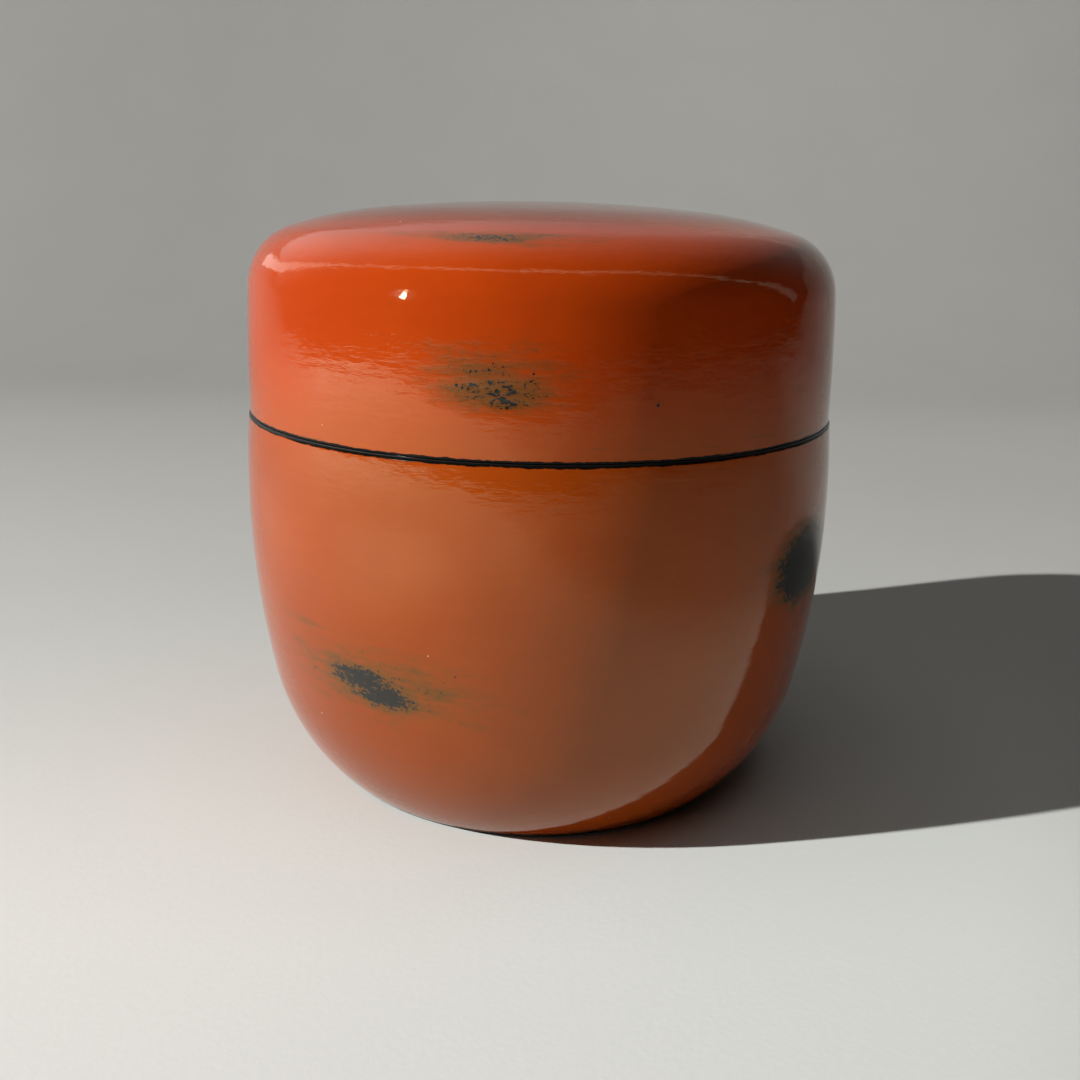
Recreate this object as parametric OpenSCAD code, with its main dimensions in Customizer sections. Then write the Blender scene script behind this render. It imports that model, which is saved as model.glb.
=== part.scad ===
// Round lacquered tea caddy with a lift-off lid.
// The body and the lid are turned wooden shells. Each carries, from the wood outwards, a cloth band at
// its mouth, a ground coat, a black coat and a red top coat, with a black lining coat inside.
// Origin: centre of the foot, on the surface the caddy stands on. +Z is the turning axis, upwards.

/* [Body] */
// Widest diameter of the body
body_d = 67; // [54:0.5:82]
// Height of the body from the foot to the seam
body_h = 42.2; // [35:0.2:52]
// Distance from the seam down to the widest diameter
belly_drop = 10.3; // [5:0.1:14]
// Radius of the long curve of the side, in section
flank_r = 102; // [92:1:130]
// Radius of the tighter curve that turns in to the foot, in section
bilge_r = 23.5; // [18:0.5:27]
// Diameter of the foot where it meets the table
foot_d = 49.8; // [42:0.2:52]
// Thickness of the floor, foot recess to well
floor_t = 4.2; // [2.6:0.1:7]
// Radius between the well's side and its floor, in section
well_corner_r = 15; // [8:0.5:18]

/* [Foot] */
// Width of the ring that the caddy stands on
foot_ring_w = 3.6; // [2:0.1:6]
// Depth of the shallow recess inside the ring
foot_recess = 0.8; // [0.4:0.1:1.5]
// Thickness of the lacquer under the foot
foot_coat_t = 0.4; // [0.3:0.05:0.8]

/* [Mouth] */
// Height of the collar that stands up inside the lid
collar_h = 5; // [3:0.25:9]
// Thickness of the collar, with its lacquer
collar_t = 1.75; // [1.3:0.05:2.5]
// Lead-in chamfer around the collar's top
collar_lead = 0.4; // [0.2:0.05:0.6]
// Gap between the collar and the lid, each side
collar_gap = 0.08; // [0.05:0.01:0.1]

/* [Lid] */
// Height of the lid above the seam
lid_h = 22.6; // [19:0.1:28]
// Thickness of the lid's wall at the seam, with its lacquer
lid_wall = 2.55; // [2:0.05:3.5]
// Thickness of the lid's top at the middle, with its lacquer
lid_top_t = 3.2; // [2.2:0.1:4.5]
// How far the lid's lower edge stands in from the body's rim
lid_step = 0.15; // [0:0.05:0.5]
// Radius of the lid's side, in section, which leans in a little as it rises
lid_side_r = 200; // [150:10:400]
// Radius of the rounded shoulder, in section
lid_shoulder_r = 6.8; // [5:0.1:9]
// Radius of the slope between the shoulder and the crown, in section
lid_brow_r = 48.5; // [32:0.5:62]
// Radius of the nearly flat crown
lid_crown_r = 181; // [130:1:260]
// Diameter of the crown, where the slope begins
lid_crown_d = 35; // [24:0.2:42]
// Radius of the corner inside the lid, in section
lid_corner_r = 5; // [3:0.5:7]

/* [Coats] */
// Thickness of the red top coat
red_t = 0.15; // [0.1:0.01:0.25]
// Thickness of the black coat under it
black_t = 0.15; // [0.1:0.01:0.25]
// Thickness of the ground coat on the wood
ground_t = 0.4; // [0.35:0.05:0.6]
// Thickness of the cloth, which lies in the ground coat
cloth_t = 0.2; // [0.1:0.05:0.25]
// Height of the cloth bands at the two mouths
mouth_cloth_h = 7; // [4:0.5:10]
// Height of the cloth band at the foot
foot_cloth_h = 5; // [3:0.5:8]
// Thickness of the black lining coat inside
lining_t = 0.2; // [0.15:0.01:0.3]
// Width of the worn bevel on the two red edges at the seam
edge_bevel = 0.12; // [0.05:0.01:0.14]

/* [Hidden] */
$fn = 128;
// Segments of the circles that the outlines are cut from
outline_fn = 720;
// Longer than any radius of the caddy, for cutting shapes that only need to reach past it
reach = 100;

// Depths below the finished surface at which each coat ends
under_red = red_t;
under_black = under_red + black_t;
under_ground = under_black + ground_t;

// Where two circles cross, taking the crossing to the right of the line from a to b
function crossing(a, ra, b, rb) =
  let (d = norm(b - a), u = (b - a) / d, along = (ra * ra - rb * rb + d * d) / (2 * d))
  a + along * u + sqrt(ra * ra - along * along) * [u[1], -u[0]];
// Direction from a to b, in degrees
function heading(a, b) = atan2(b[1] - a[1], b[0] - a[0]);
// The point a distance away from p in a direction
function beyond(p, angle, distance = reach) = p + distance * [cos(angle), sin(angle)];

// Body: the bilge touches the flank at the knee and ends at the foot's edge
body_r = body_d / 2;
foot_r = foot_d / 2;
belly_z = body_h - belly_drop;
flank_c = [body_r - flank_r, belly_z];
bilge_c = crossing([foot_r, 0], bilge_r, flank_c, flank_r - bilge_r);
knee_a = heading(flank_c, bilge_c);
rim_r = flank_c[0] + sqrt(flank_r * flank_r - belly_drop * belly_drop);

// Lid, with the seam at height 0: crown, brow, shoulder and side, each touching the next
lid_r = rim_r - lid_step;
side_c = [lid_r - lid_side_r, 0];
crown_c = [0, lid_h - lid_crown_r];
brow_a = acos(lid_crown_d / 2 / lid_crown_r);
brow_c = beyond(crown_c, brow_a, lid_crown_r - lid_brow_r);
shoulder_c = crossing(brow_c, lid_brow_r - lid_shoulder_r, side_c, lid_side_r - lid_shoulder_r);
side_a = heading(side_c, shoulder_c);
shoulder_a = heading(brow_c, shoulder_c);
// Where the line between crown and brow passes the height of the shoulder's centre
brow_foot = [(shoulder_c[1] - crown_c[1]) / tan(brow_a), shoulder_c[1]];

// Fit of the lid on the collar, from the outside inwards
lid_bore_r = lid_r - lid_wall;
collar_r = lid_bore_r - collar_gap;
mouth_r = collar_r - collar_t;
body_wall = body_r - mouth_r;
collar_top = body_h + collar_h;

// Well: a straight mouth, the flank's curve set in by the wall, then the corner and the flat floor
floor_z = foot_recess + floor_t;
well_corner_z = floor_z + well_corner_r;
well_corner_c = [
  flank_c[0] + sqrt(pow(flank_r - body_wall - well_corner_r, 2) - pow(well_corner_z - belly_z, 2)),
  well_corner_z
];
well_knee_a = heading(flank_c, well_corner_c);

// Hollow of the lid: a straight bore, the corner and a ceiling that follows the crown
ceiling_r = lid_crown_r - lid_top_t;
lid_corner_c = [
  lid_bore_r - lid_corner_r,
  crown_c[1] + sqrt(pow(ceiling_r - lid_corner_r, 2) - pow(lid_bore_r - lid_corner_r, 2))
];
ceiling_a = heading(crown_c, lid_corner_c);

// Foot: the recess inside the ring
foot_recess_r = foot_r - foot_ring_w;

// ---- Outlines: half sections, right of the axis ----

// The part of a disc inside a polygon. Neighbouring polygons share their corners.
module disc_part(c, r, corners) {
  intersection() {
    translate(c) circle(r, $fn = outline_fn);
    polygon(corners);
  }
}

// What lies right of the axis, between two heights
module band(z0, z1, r = reach) {
  translate([0, z0]) square([r, z1 - z0]);
}

// Finished outside of the body, set in by the given depth
module body_outline(depth) {
  knee = beyond(flank_c, knee_a, flank_r + reach);
  disc_part(flank_c, flank_r - depth, [flank_c, knee, [reach, reach], [flank_c[0], reach]]);
  disc_part(bilge_c, bilge_r - depth, [flank_c, knee, [reach, -reach], [flank_c[0], -reach]]);
}

// Finished outside of the lid, with the seam at height 0, set in by the given depth
module lid_outline(depth) {
  axis = [0, shoulder_c[1]];
  side = beyond(shoulder_c, side_a);
  shoulder = beyond(shoulder_c, shoulder_a);
  brow = beyond(brow_foot, brow_a);
  disc_part(side_c, lid_side_r - depth, [[0, -1], axis, shoulder_c, side, [reach, -1]]);
  disc_part(shoulder_c, lid_shoulder_r - depth, [shoulder_c, side, [reach, reach], shoulder]);
  disc_part(brow_c, lid_brow_r - depth, [brow_foot, shoulder_c, shoulder, brow]);
  disc_part(crown_c, lid_crown_r - depth, [axis, brow_foot, brow, [0, reach]]);
}

// Inside of the body, enlarged by the given amount all round
module well_outline(grow) {
  knee = beyond(flank_c, well_knee_a, flank_r + reach);
  band(belly_z, reach, mouth_r + grow);
  intersection() {
    union() {
      disc_part(flank_c, flank_r - body_wall + grow, [flank_c, knee, [reach, belly_z]]);
      disc_part(well_corner_c, well_corner_r + grow, [flank_c, knee, [reach, -reach], [flank_c[0], -reach]]);
      band(floor_z - grow, well_corner_z, well_corner_c[0]);
    }
    band(floor_z - grow, belly_z);
  }
}

// Inside of the lid, with the seam at height 0, enlarged by the given amount all round
module lid_hollow_outline(grow) {
  axis = [0, lid_corner_c[1]];
  ceiling = beyond(lid_corner_c, ceiling_a);
  band(-1, lid_corner_c[1], lid_bore_r + grow);
  disc_part(lid_corner_c, lid_corner_r + grow, [lid_corner_c, [reach, lid_corner_c[1]], ceiling]);
  disc_part(crown_c, ceiling_r + grow, [axis, lid_corner_c, ceiling, [0, reach]]);
}

// A layer of the body between two depths and two heights, clear of the foot's recess
module body_layer(outer, inner, z0, z1) {
  difference() {
    intersection() {
      body_outline(outer);
      band(z0, z1);
    }
    body_outline(inner);
    band(-1, foot_recess + foot_coat_t, foot_recess_r + foot_coat_t);
    well_outline(lining_t);
  }
}

// A layer of the lid between two depths and two heights
module lid_layer(outer, inner, z0, z1) {
  difference() {
    intersection() {
      lid_outline(outer);
      band(z0, z1);
    }
    lid_outline(inner);
  }
}

// Half section of the turned wooden body
module body_core_section() {
  difference() {
    union() {
      intersection() {
        body_outline(under_ground);
        band(foot_coat_t, body_h - lining_t);
      }
      intersection() {
        band(body_h - lining_t - 1, collar_top - lining_t, collar_r - lining_t);
        collar_bevel_keep(collar_top - lining_t, collar_r - lining_t);
      }
    }
    well_outline(lining_t);
    band(-1, foot_recess + foot_coat_t, foot_recess_r + foot_coat_t);
  }
}

// Half section of the turned wooden lid
module lid_core_section() {
  difference() {
    intersection() {
      lid_outline(under_ground);
      band(lining_t, lid_h);
    }
    lid_hollow_outline(lining_t);
  }
}

// What is left of a round corner at (r, top) once its lead-in chamfer is cut
module collar_bevel_keep(top, r) {
  polygon([
    [0, -1], [r, -1], [r, top - collar_lead], [r - collar_lead, top], [0, top]
  ]);
}

// Turns a half section into a solid about the axis, raised to its height
module turned(z = 0) {
  translate([0, 0, z]) rotate_extrude() children();
}

// ---- Body ----

module body_core() {
  color("peru") turned() body_core_section();
}

module body_mouth_cloth() {
  top = body_h - lining_t;
  color("wheat") turned() body_layer(under_ground - cloth_t, under_ground, top - mouth_cloth_h, top);
}

module body_foot_cloth() {
  color("wheat") turned()
    body_layer(under_ground - cloth_t, under_ground, foot_coat_t, foot_coat_t + foot_cloth_h);
}

module body_ground_coat() {
  top = body_h - lining_t;
  color("dimgray") turned() difference() {
    body_layer(under_black, under_ground, foot_coat_t, top);
    body_layer(under_ground - cloth_t, under_ground, top - mouth_cloth_h, top);
    body_layer(under_ground - cloth_t, under_ground, foot_coat_t, foot_coat_t + foot_cloth_h);
  }
}

module body_black_coat() {
  color([0.07, 0.07, 0.07]) turned() body_layer(under_red, under_black, foot_coat_t, body_h);
}

module body_red_coat() {
  color([0.78, 0.27, 0.1]) turned() difference() {
    body_layer(0, under_red, foot_coat_t, body_h);
    polygon([
      [rim_r - edge_bevel, body_h], [rim_r + 1, body_h], [rim_r + 1, body_h - 1 - edge_bevel]
    ]);
  }
}

module body_lining_coat() {
  color([0.05, 0.05, 0.05]) turned() difference() {
    union() {
      intersection() {
        body_outline(under_black);
        band(body_h - lining_t, body_h);
      }
      intersection() {
        band(body_h - lining_t, collar_top, collar_r);
        collar_bevel_keep(collar_top, collar_r);
      }
      intersection() {
        well_outline(lining_t);
        band(0, collar_top);
      }
    }
    well_outline(0);
    body_core_section();
  }
}

module foot_coat() {
  color([0.07, 0.07, 0.07]) turned() difference() {
    union() {
      intersection() {
        body_outline(0);
        band(0, foot_coat_t);
      }
      band(0, foot_recess + foot_coat_t, foot_recess_r + foot_coat_t);
    }
    band(-1, foot_recess, foot_recess_r);
  }
}

// ---- Lid ----

module lid_core() {
  color("peru") turned(body_h) lid_core_section();
}

module lid_mouth_cloth() {
  color("wheat") turned(body_h)
    lid_layer(under_ground - cloth_t, under_ground, lining_t, lining_t + mouth_cloth_h);
}

module lid_ground_coat() {
  color("dimgray") turned(body_h) difference() {
    lid_layer(under_black, under_ground, lining_t, lid_h);
    lid_layer(under_ground - cloth_t, under_ground, lining_t, lining_t + mouth_cloth_h);
  }
}

module lid_black_coat() {
  color([0.07, 0.07, 0.07]) turned(body_h) lid_layer(under_red, under_black, 0, lid_h);
}

module lid_red_coat() {
  color([0.78, 0.27, 0.1]) turned(body_h) difference() {
    lid_layer(0, under_red, 0, lid_h);
    polygon([[lid_r - edge_bevel, 0], [lid_r + 1, 0], [lid_r + 1, 1 + edge_bevel]]);
  }
}

module lid_lining_coat() {
  color([0.05, 0.05, 0.05]) turned(body_h) difference() {
    union() {
      intersection() {
        lid_outline(under_black);
        band(0, lining_t);
      }
      intersection() {
        lid_hollow_outline(lining_t);
        band(0, lid_h);
      }
    }
    lid_hollow_outline(0);
    lid_core_section();
  }
}

body_core();
body_mouth_cloth();
body_foot_cloth();
body_ground_coat();
body_black_coat();
body_red_coat();
body_lining_coat();
foot_coat();
lid_core();
lid_mouth_cloth();
lid_ground_coat();
lid_black_coat();
lid_red_coat();
lid_lining_coat();
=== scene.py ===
"""Lacquered tea caddy: fine turned skins, worn vermilion lacquer, linings and a small studio.

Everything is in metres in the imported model's own frame: +Z is the turning axis, the foot stands on z = 0.
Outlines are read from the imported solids, so the skins follow whatever sizes were packed.
"""

import math

import bmesh
import bpy
import numpy as np
from mathutils import Matrix, Vector


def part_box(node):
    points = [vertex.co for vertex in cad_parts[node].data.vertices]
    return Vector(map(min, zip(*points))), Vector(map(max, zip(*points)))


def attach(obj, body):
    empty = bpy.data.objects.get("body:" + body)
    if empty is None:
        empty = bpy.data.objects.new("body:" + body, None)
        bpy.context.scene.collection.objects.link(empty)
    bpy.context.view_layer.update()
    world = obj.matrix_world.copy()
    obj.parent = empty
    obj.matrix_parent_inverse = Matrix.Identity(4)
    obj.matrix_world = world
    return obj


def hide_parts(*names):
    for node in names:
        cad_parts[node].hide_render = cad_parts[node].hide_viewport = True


bl_info = {
    "name": "Lacquered Tea Caddy",
    "version": (1, 0, 0),
    "blender": (4, 5, 0),
    "location": "3D Viewport > Sidebar > Tea Caddy",
    "description": "Lacquer skins, linings, hidden layers and studio for a turned tea caddy",
    "category": "Object",
}

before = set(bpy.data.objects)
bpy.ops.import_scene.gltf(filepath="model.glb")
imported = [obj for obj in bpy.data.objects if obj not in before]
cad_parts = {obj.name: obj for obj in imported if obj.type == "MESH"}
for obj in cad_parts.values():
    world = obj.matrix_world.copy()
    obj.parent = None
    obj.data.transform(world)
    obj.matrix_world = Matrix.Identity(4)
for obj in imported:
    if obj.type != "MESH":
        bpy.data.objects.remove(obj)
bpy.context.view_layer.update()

MM = 0.001
# The hub of the turned texture space is widened by this much, in mm, so that noise isn't pinched there
HUB = 1.5
# Radius at which widths round the caddy are measured, in mm
WALL_RADIUS = 32.5
LACQUER_IOR = 1.58
SEAM_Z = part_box("lid_red_coat")[0].z
TOP_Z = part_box("lid_red_coat")[1].z
TURN_STEPS = 720


# ---- Sizes and colours that a user would change ----

def length(name, description, default, low, high):
    """A length property, in metres."""
    return bpy.props.FloatProperty(name=name, description=description, default=default, min=low, max=high,
                                   precision=5, unit="LENGTH")


def colour(name, description, default):
    """A colour property, linear."""
    return bpy.props.FloatVectorProperty(name=name, description=description, default=default, min=0, max=1,
                                         size=3, subtype="COLOR")


class CaddySizes(bpy.types.PropertyGroup):
    """Fine shape that the lacquer adds to the turned solids"""

    coat_depth: length("Coat thickness", "Thickness of the red skins", 0.15 * MM, 0.05 * MM, 0.4 * MM)
    lining_depth: length("Lining thickness", "Thickness of the black linings", 0.2 * MM, 0.05 * MM, 0.5 * MM)
    body_lip: length("Body lip", "Rounding of the body's red edge at the seam", 0.34 * MM, 0, 0.6 * MM)
    lid_lip: length("Lid lip", "Rounding of the lid's red edge at the seam", 0.22 * MM, 0, 0.6 * MM)
    lining_edge: length("Lining edge", "Rounding of the edges of the collar and linings", 0.15 * MM, 0.02 * MM,
                        0.2 * MM)
    wave_height: length("Wave height", "Height of the slow waves left by the brush and the polishing",
                        0.004 * MM, 0, 0.05 * MM)
    worn_dip: length("Worn dip", "How deep the worn patches are rubbed", 0.05 * MM, 0, 0.12 * MM)


class CaddyColours(bpy.types.PropertyGroup):
    """Colours of the lacquers and of the layers under them"""

    vermilion: colour("Vermilion", "Top coat", (0.50, 0.053, 0.0028))
    deep_vermilion: colour("Deep vermilion", "Thicker places of the top coat", (0.43, 0.042, 0.0023))
    rubbed: colour("Rubbed through", "Red worn thin over the black", (0.125, 0.058, 0.012))
    black: colour("Black lacquer", "Coat under the red, linings", (0.012, 0.0125, 0.012))
    foot_black: colour("Foot lacquer", "Coat under the foot", (0.02, 0.019, 0.018))
    wood: colour("Turned wood", "Core", (0.50, 0.33, 0.18))
    cloth: colour("Hemp cloth", "Cloth bands", (0.45, 0.36, 0.23))
    ground: colour("Ground coat", "Coat that levels wood and cloth", (0.10, 0.085, 0.07))
    dust: colour("Dust", "Specks that lie on the lacquer", (0.75, 0.62, 0.52))


class CaddyStudio(bpy.types.PropertyGroup):
    """Camera, lights and floor"""

    lens: bpy.props.FloatProperty(name="Lens", description="Focal length", default=36.03, min=10, max=300,
                                  unit="CAMERA")
    distance: length("Distance", "From the turning axis to the camera", 131.6 * MM, 0.08, 2)
    aim_height: length("Aim height", "Height of the aimed point on the axis", 25.45 * MM, 0, 0.2)
    pitch: bpy.props.FloatProperty(name="Pitch", description="How far the camera looks down",
                                   default=math.radians(16.73), subtype="ANGLE")
    roll: bpy.props.FloatProperty(name="Roll", description="Turn about the line of sight",
                                  default=math.radians(1.03), subtype="ANGLE")
    yaw: bpy.props.FloatProperty(name="Yaw", description="Turn to the right of the axis",
                                 default=math.radians(0.14), subtype="ANGLE")
    key_heading: bpy.props.FloatProperty(name="Key heading", description="Direction that the shadow falls in",
                                         default=math.radians(18.4), subtype="ANGLE")
    key_height: bpy.props.FloatProperty(name="Key height", description="Height of the key light above the horizon",
                                        default=math.radians(32.4), subtype="ANGLE")
    key_distance: length("Key distance", "From the caddy to the key light", 0.962, 0.2, 5)
    key_power: bpy.props.FloatProperty(name="Key power", description="Power of the key light, in watts", default=12.4,
                                       min=0)
    paper: colour("Paper", "Floor and backdrop", (0.805, 0.795, 0.75))


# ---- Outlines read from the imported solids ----

def rings(node, centre_z, outward):
    """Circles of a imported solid's mesh on the surfaces that face away from, or towards, a point of the axis.

    Rows of (radius, height) in metres, sorted by their direction from that point."""
    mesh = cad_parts[node].data
    corners = np.empty(len(mesh.vertices) * 3)
    mesh.vertices.foreach_get("co", corners)
    corners = corners.reshape(-1, 3)
    normals = np.empty(len(mesh.polygons) * 3)
    mesh.polygons.foreach_get("normal", normals)
    normals = normals.reshape(-1, 3)
    middles = np.empty(len(mesh.polygons) * 3)
    mesh.polygons.foreach_get("center", middles)
    middles = middles.reshape(-1, 3) - [0, 0, centre_z]
    facing = (normals * middles).sum(1) / (np.linalg.norm(middles, axis=1) + 1e-12)
    chosen = facing > 0.05 if outward else facing < -0.05
    used = sorted({v for face, keep in zip(mesh.polygons, chosen) if keep for v in face.vertices})
    radius = np.hypot(corners[used, 0], corners[used, 1])
    cells, counts = np.unique(np.round(np.c_[radius, corners[used, 2]] / (0.01 * MM)), axis=0, return_counts=True)
    kept = cells[counts >= 24] * 0.01 * MM
    # The rounded cell only names the ring: its size is the mean of the points in it
    exact = []
    for cell in kept:
        near = (abs(radius - cell[0]) < 0.011 * MM) & (abs(corners[used, 2] - cell[1]) < 0.011 * MM)
        exact.append((radius[near].mean(), corners[used, 2][near].mean()))
    exact = np.array(exact)
    return exact[np.argsort(np.arctan2(exact[:, 1] - centre_z, exact[:, 0]))]


def tidy(points, centre_z, outward, gap=0.3 * MM):
    """Leaves one point where several lie in nearly the same direction: the one that belongs to the surface."""
    kept = [points[0]]
    for point in points[1:]:
        if np.hypot(*(point - kept[-1])) > gap:
            kept.append(point)
        elif (np.hypot(point[0], point[1] - centre_z) > np.hypot(kept[-1][0], kept[-1][1] - centre_z)) == outward:
            kept[-1] = point
    return np.array(kept)


def arc_outline(points, start, heading, step=0.25 * MM):
    """The outline of touching arcs through the points, given its heading in radians at one of them.

    Neighbouring points lie on one arc, so an arc leaves its chord at the angle at which it met it."""
    chord = np.diff(points, axis=0)
    slope = np.arctan2(chord[:, 1], chord[:, 0])
    headings = np.zeros(len(points))
    headings[start] = heading
    for i in range(start, len(points) - 1):
        headings[i + 1] = 2 * slope[i] - headings[i]
    for i in range(start, 0, -1):
        headings[i - 1] = 2 * slope[i - 1] - headings[i]
    out = [points[:1]]
    for i, (length_, direction) in enumerate(zip(np.hypot(*chord.T), slope)):
        half_turn = (headings[i + 1] - headings[i] + math.pi) % (2 * math.pi) / 2 - math.pi / 2
        t = np.linspace(0, 1, max(2, int(length_ / step) + 1))[1:]
        share = np.sin(half_turn * t) / math.sin(half_turn) if abs(half_turn) > 1e-7 else t
        angle = direction - half_turn * (1 - t)
        out.append(points[i] + length_ * share[:, None] * np.c_[np.cos(angle), np.sin(angle)])
    return np.vstack(out)


def middle_heading(points, i):
    """Heading at a point from the circle through it and its two neighbours."""
    before, after = points[i] - points[i - 1], points[i + 1] - points[i]
    near, far = np.hypot(*before), np.hypot(*after)
    slope_before, slope_after = math.atan2(*before[::-1]), math.atan2(*after[::-1])
    turn_ = (slope_after - slope_before + math.pi) % (2 * math.pi) - math.pi
    return slope_before + turn_ * near / (near + far)


def round_corners(points, radius, steps=5):
    """A polyline with each corner replaced by a short arc."""
    out = [points[0]]
    for before, corner, after in zip(points, points[1:], points[2:]):
        a, b = before - corner, after - corner
        la, lb = np.hypot(*a), np.hypot(*b)
        cut = min(radius, la * 0.45, lb * 0.45)
        p, q = corner + a / la * cut, corner + b / lb * cut
        for t in np.linspace(0, 1, steps):
            out.append(p * (1 - t) ** 2 + 2 * corner * t * (1 - t) + q * t ** 2)
    out.append(points[-1])
    return np.array(out)


def side_normals(points):
    """Unit normals of an open outline, to the right of its direction."""
    ahead = np.gradient(points, axis=0)
    ahead /= np.linalg.norm(ahead, axis=1)[:, None] + 1e-15
    return np.c_[ahead[:, 1], -ahead[:, 0]]


# ---- Turning ----

def turn(name, front, depth, steps=TURN_STEPS, relief=None):
    """A closed skin of revolution: its front follows the outline and its back lies depth behind it.

    The outline runs so that the seen side is on its right. relief(angle, along, front) raises the front."""
    along = np.r_[0, np.hypot(*np.diff(front, axis=0).T).cumsum()]
    normal = side_normals(front)
    for end in (0, -1):
        if front[end, 0] < 1e-6:
            normal[end] = 0, math.copysign(1, normal[end, 1])
    angle = np.arange(steps) * 2 * math.pi / steps
    count = len(front)
    lift = relief(angle[:, None], along[None, :], front) if relief else np.zeros((steps, count))
    outer = front[None] + normal[None] * lift[:, :, None]
    inner = np.broadcast_to(front - normal * depth, (steps, count, 2))
    section = np.concatenate([outer, inner[:, ::-1]], axis=1)
    section[:, :, 0] = np.maximum(section[:, :, 0], 0)
    wheel = np.stack([np.cos(angle), np.sin(angle)], -1)
    corners = np.concatenate([section[:, :, :1] * wheel[:, None, :], section[:, :, 1:]], axis=2)
    rows = 2 * count
    index = np.arange(steps * rows).reshape(steps, rows)
    following = np.roll(index, -1, axis=0)
    ring = np.arange(rows)
    after = np.roll(ring, -1)
    quads = np.stack([index[:, ring], index[:, after], following[:, after], following[:, ring]], -1).reshape(-1, 4)
    mesh = bpy.data.meshes.new(name)
    mesh.from_pydata(corners.reshape(-1, 3).tolist(), [], quads.tolist())
    places = np.concatenate([along, along[::-1]])
    radius = section[:, :, 0] / MM
    softened = radius / (radius + HUB)
    reach = front[:, 0].max() / MM
    store(mesh, "turned", "FLOAT_VECTOR", np.stack([
        reach * softened * wheel[:, :1], reach * softened * wheel[:, 1:],
        np.broadcast_to(places / MM, (steps, rows))], -1))
    return mesh, angle, along


def store(mesh, name, kind, values):
    """Writes one value per corner point as a named attribute."""
    attribute = mesh.attributes.new(name, kind, "POINT")
    attribute.data.foreach_set("vector" if kind == "FLOAT_VECTOR" else "value",
                               np.ascontiguousarray(values, np.float32).ravel())


def finish_mesh(mesh, body, finish, *nodes, slot):
    """Cleans a turned mesh, smooths its shading, gives it its finish and sets it on its body."""
    work = bmesh.new()
    work.from_mesh(mesh)
    bmesh.ops.remove_doubles(work, verts=[v for v in work.verts if v.co.xy.length < 1e-5], dist=1e-6)
    middle = {edge for vert in work.verts if vert.co.xy.length < 1e-5 for edge in vert.link_edges}
    bmesh.ops.dissolve_degenerate(work, edges=list(middle), dist=1e-9)
    bmesh.ops.recalc_face_normals(work, faces=work.faces)
    work.to_mesh(mesh)
    work.free()
    mesh.shade_smooth()
    piece = bpy.data.objects.new(mesh.name, mesh)
    bpy.context.scene.collection.objects.link(piece)
    mesh.materials.append(finish)
    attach(piece, body)
    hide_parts(*nodes)
    return piece


def waves(angle, along, reach, seed):
    """Slow waves over a turned surface, about one unit high, the same on each run."""
    draw = np.random.default_rng(seed)
    total = np.zeros(np.broadcast(angle, along).shape)
    for _ in range(26):
        wavelength = draw.uniform(5, 16) * MM
        heading = draw.uniform(0, math.pi)
        turns = round(2 * math.pi * reach * math.cos(heading) / wavelength)
        total += draw.uniform(0.5, 1) * np.sin(turns * angle + 2 * math.pi * along * math.sin(heading) / wavelength
                                               + draw.uniform(0, 2 * math.pi))
    return total / 3.6


def patch_field(angle, along, patches):
    """How far the coat is rubbed through: the highest of several soft ellipses, 1 in the middle of each.

    A patch is (direction from the front in degrees, place along the outline in mm, half width in mm,
    half height in mm, strength)."""
    field = np.zeros(np.broadcast(angle, along).shape)
    for heading, place, half_width, half_height, strength in patches:
        turned = (angle - math.radians(heading - 90) + math.pi) % (2 * math.pi) - math.pi
        across = turned * WALL_RADIUS / half_width
        up = (along / MM - place) / half_height
        field = np.maximum(field, strength * np.exp(-0.5 * (across ** 2 + up ** 2) * 1.6))
    return field


# ---- Finishes ----

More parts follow.
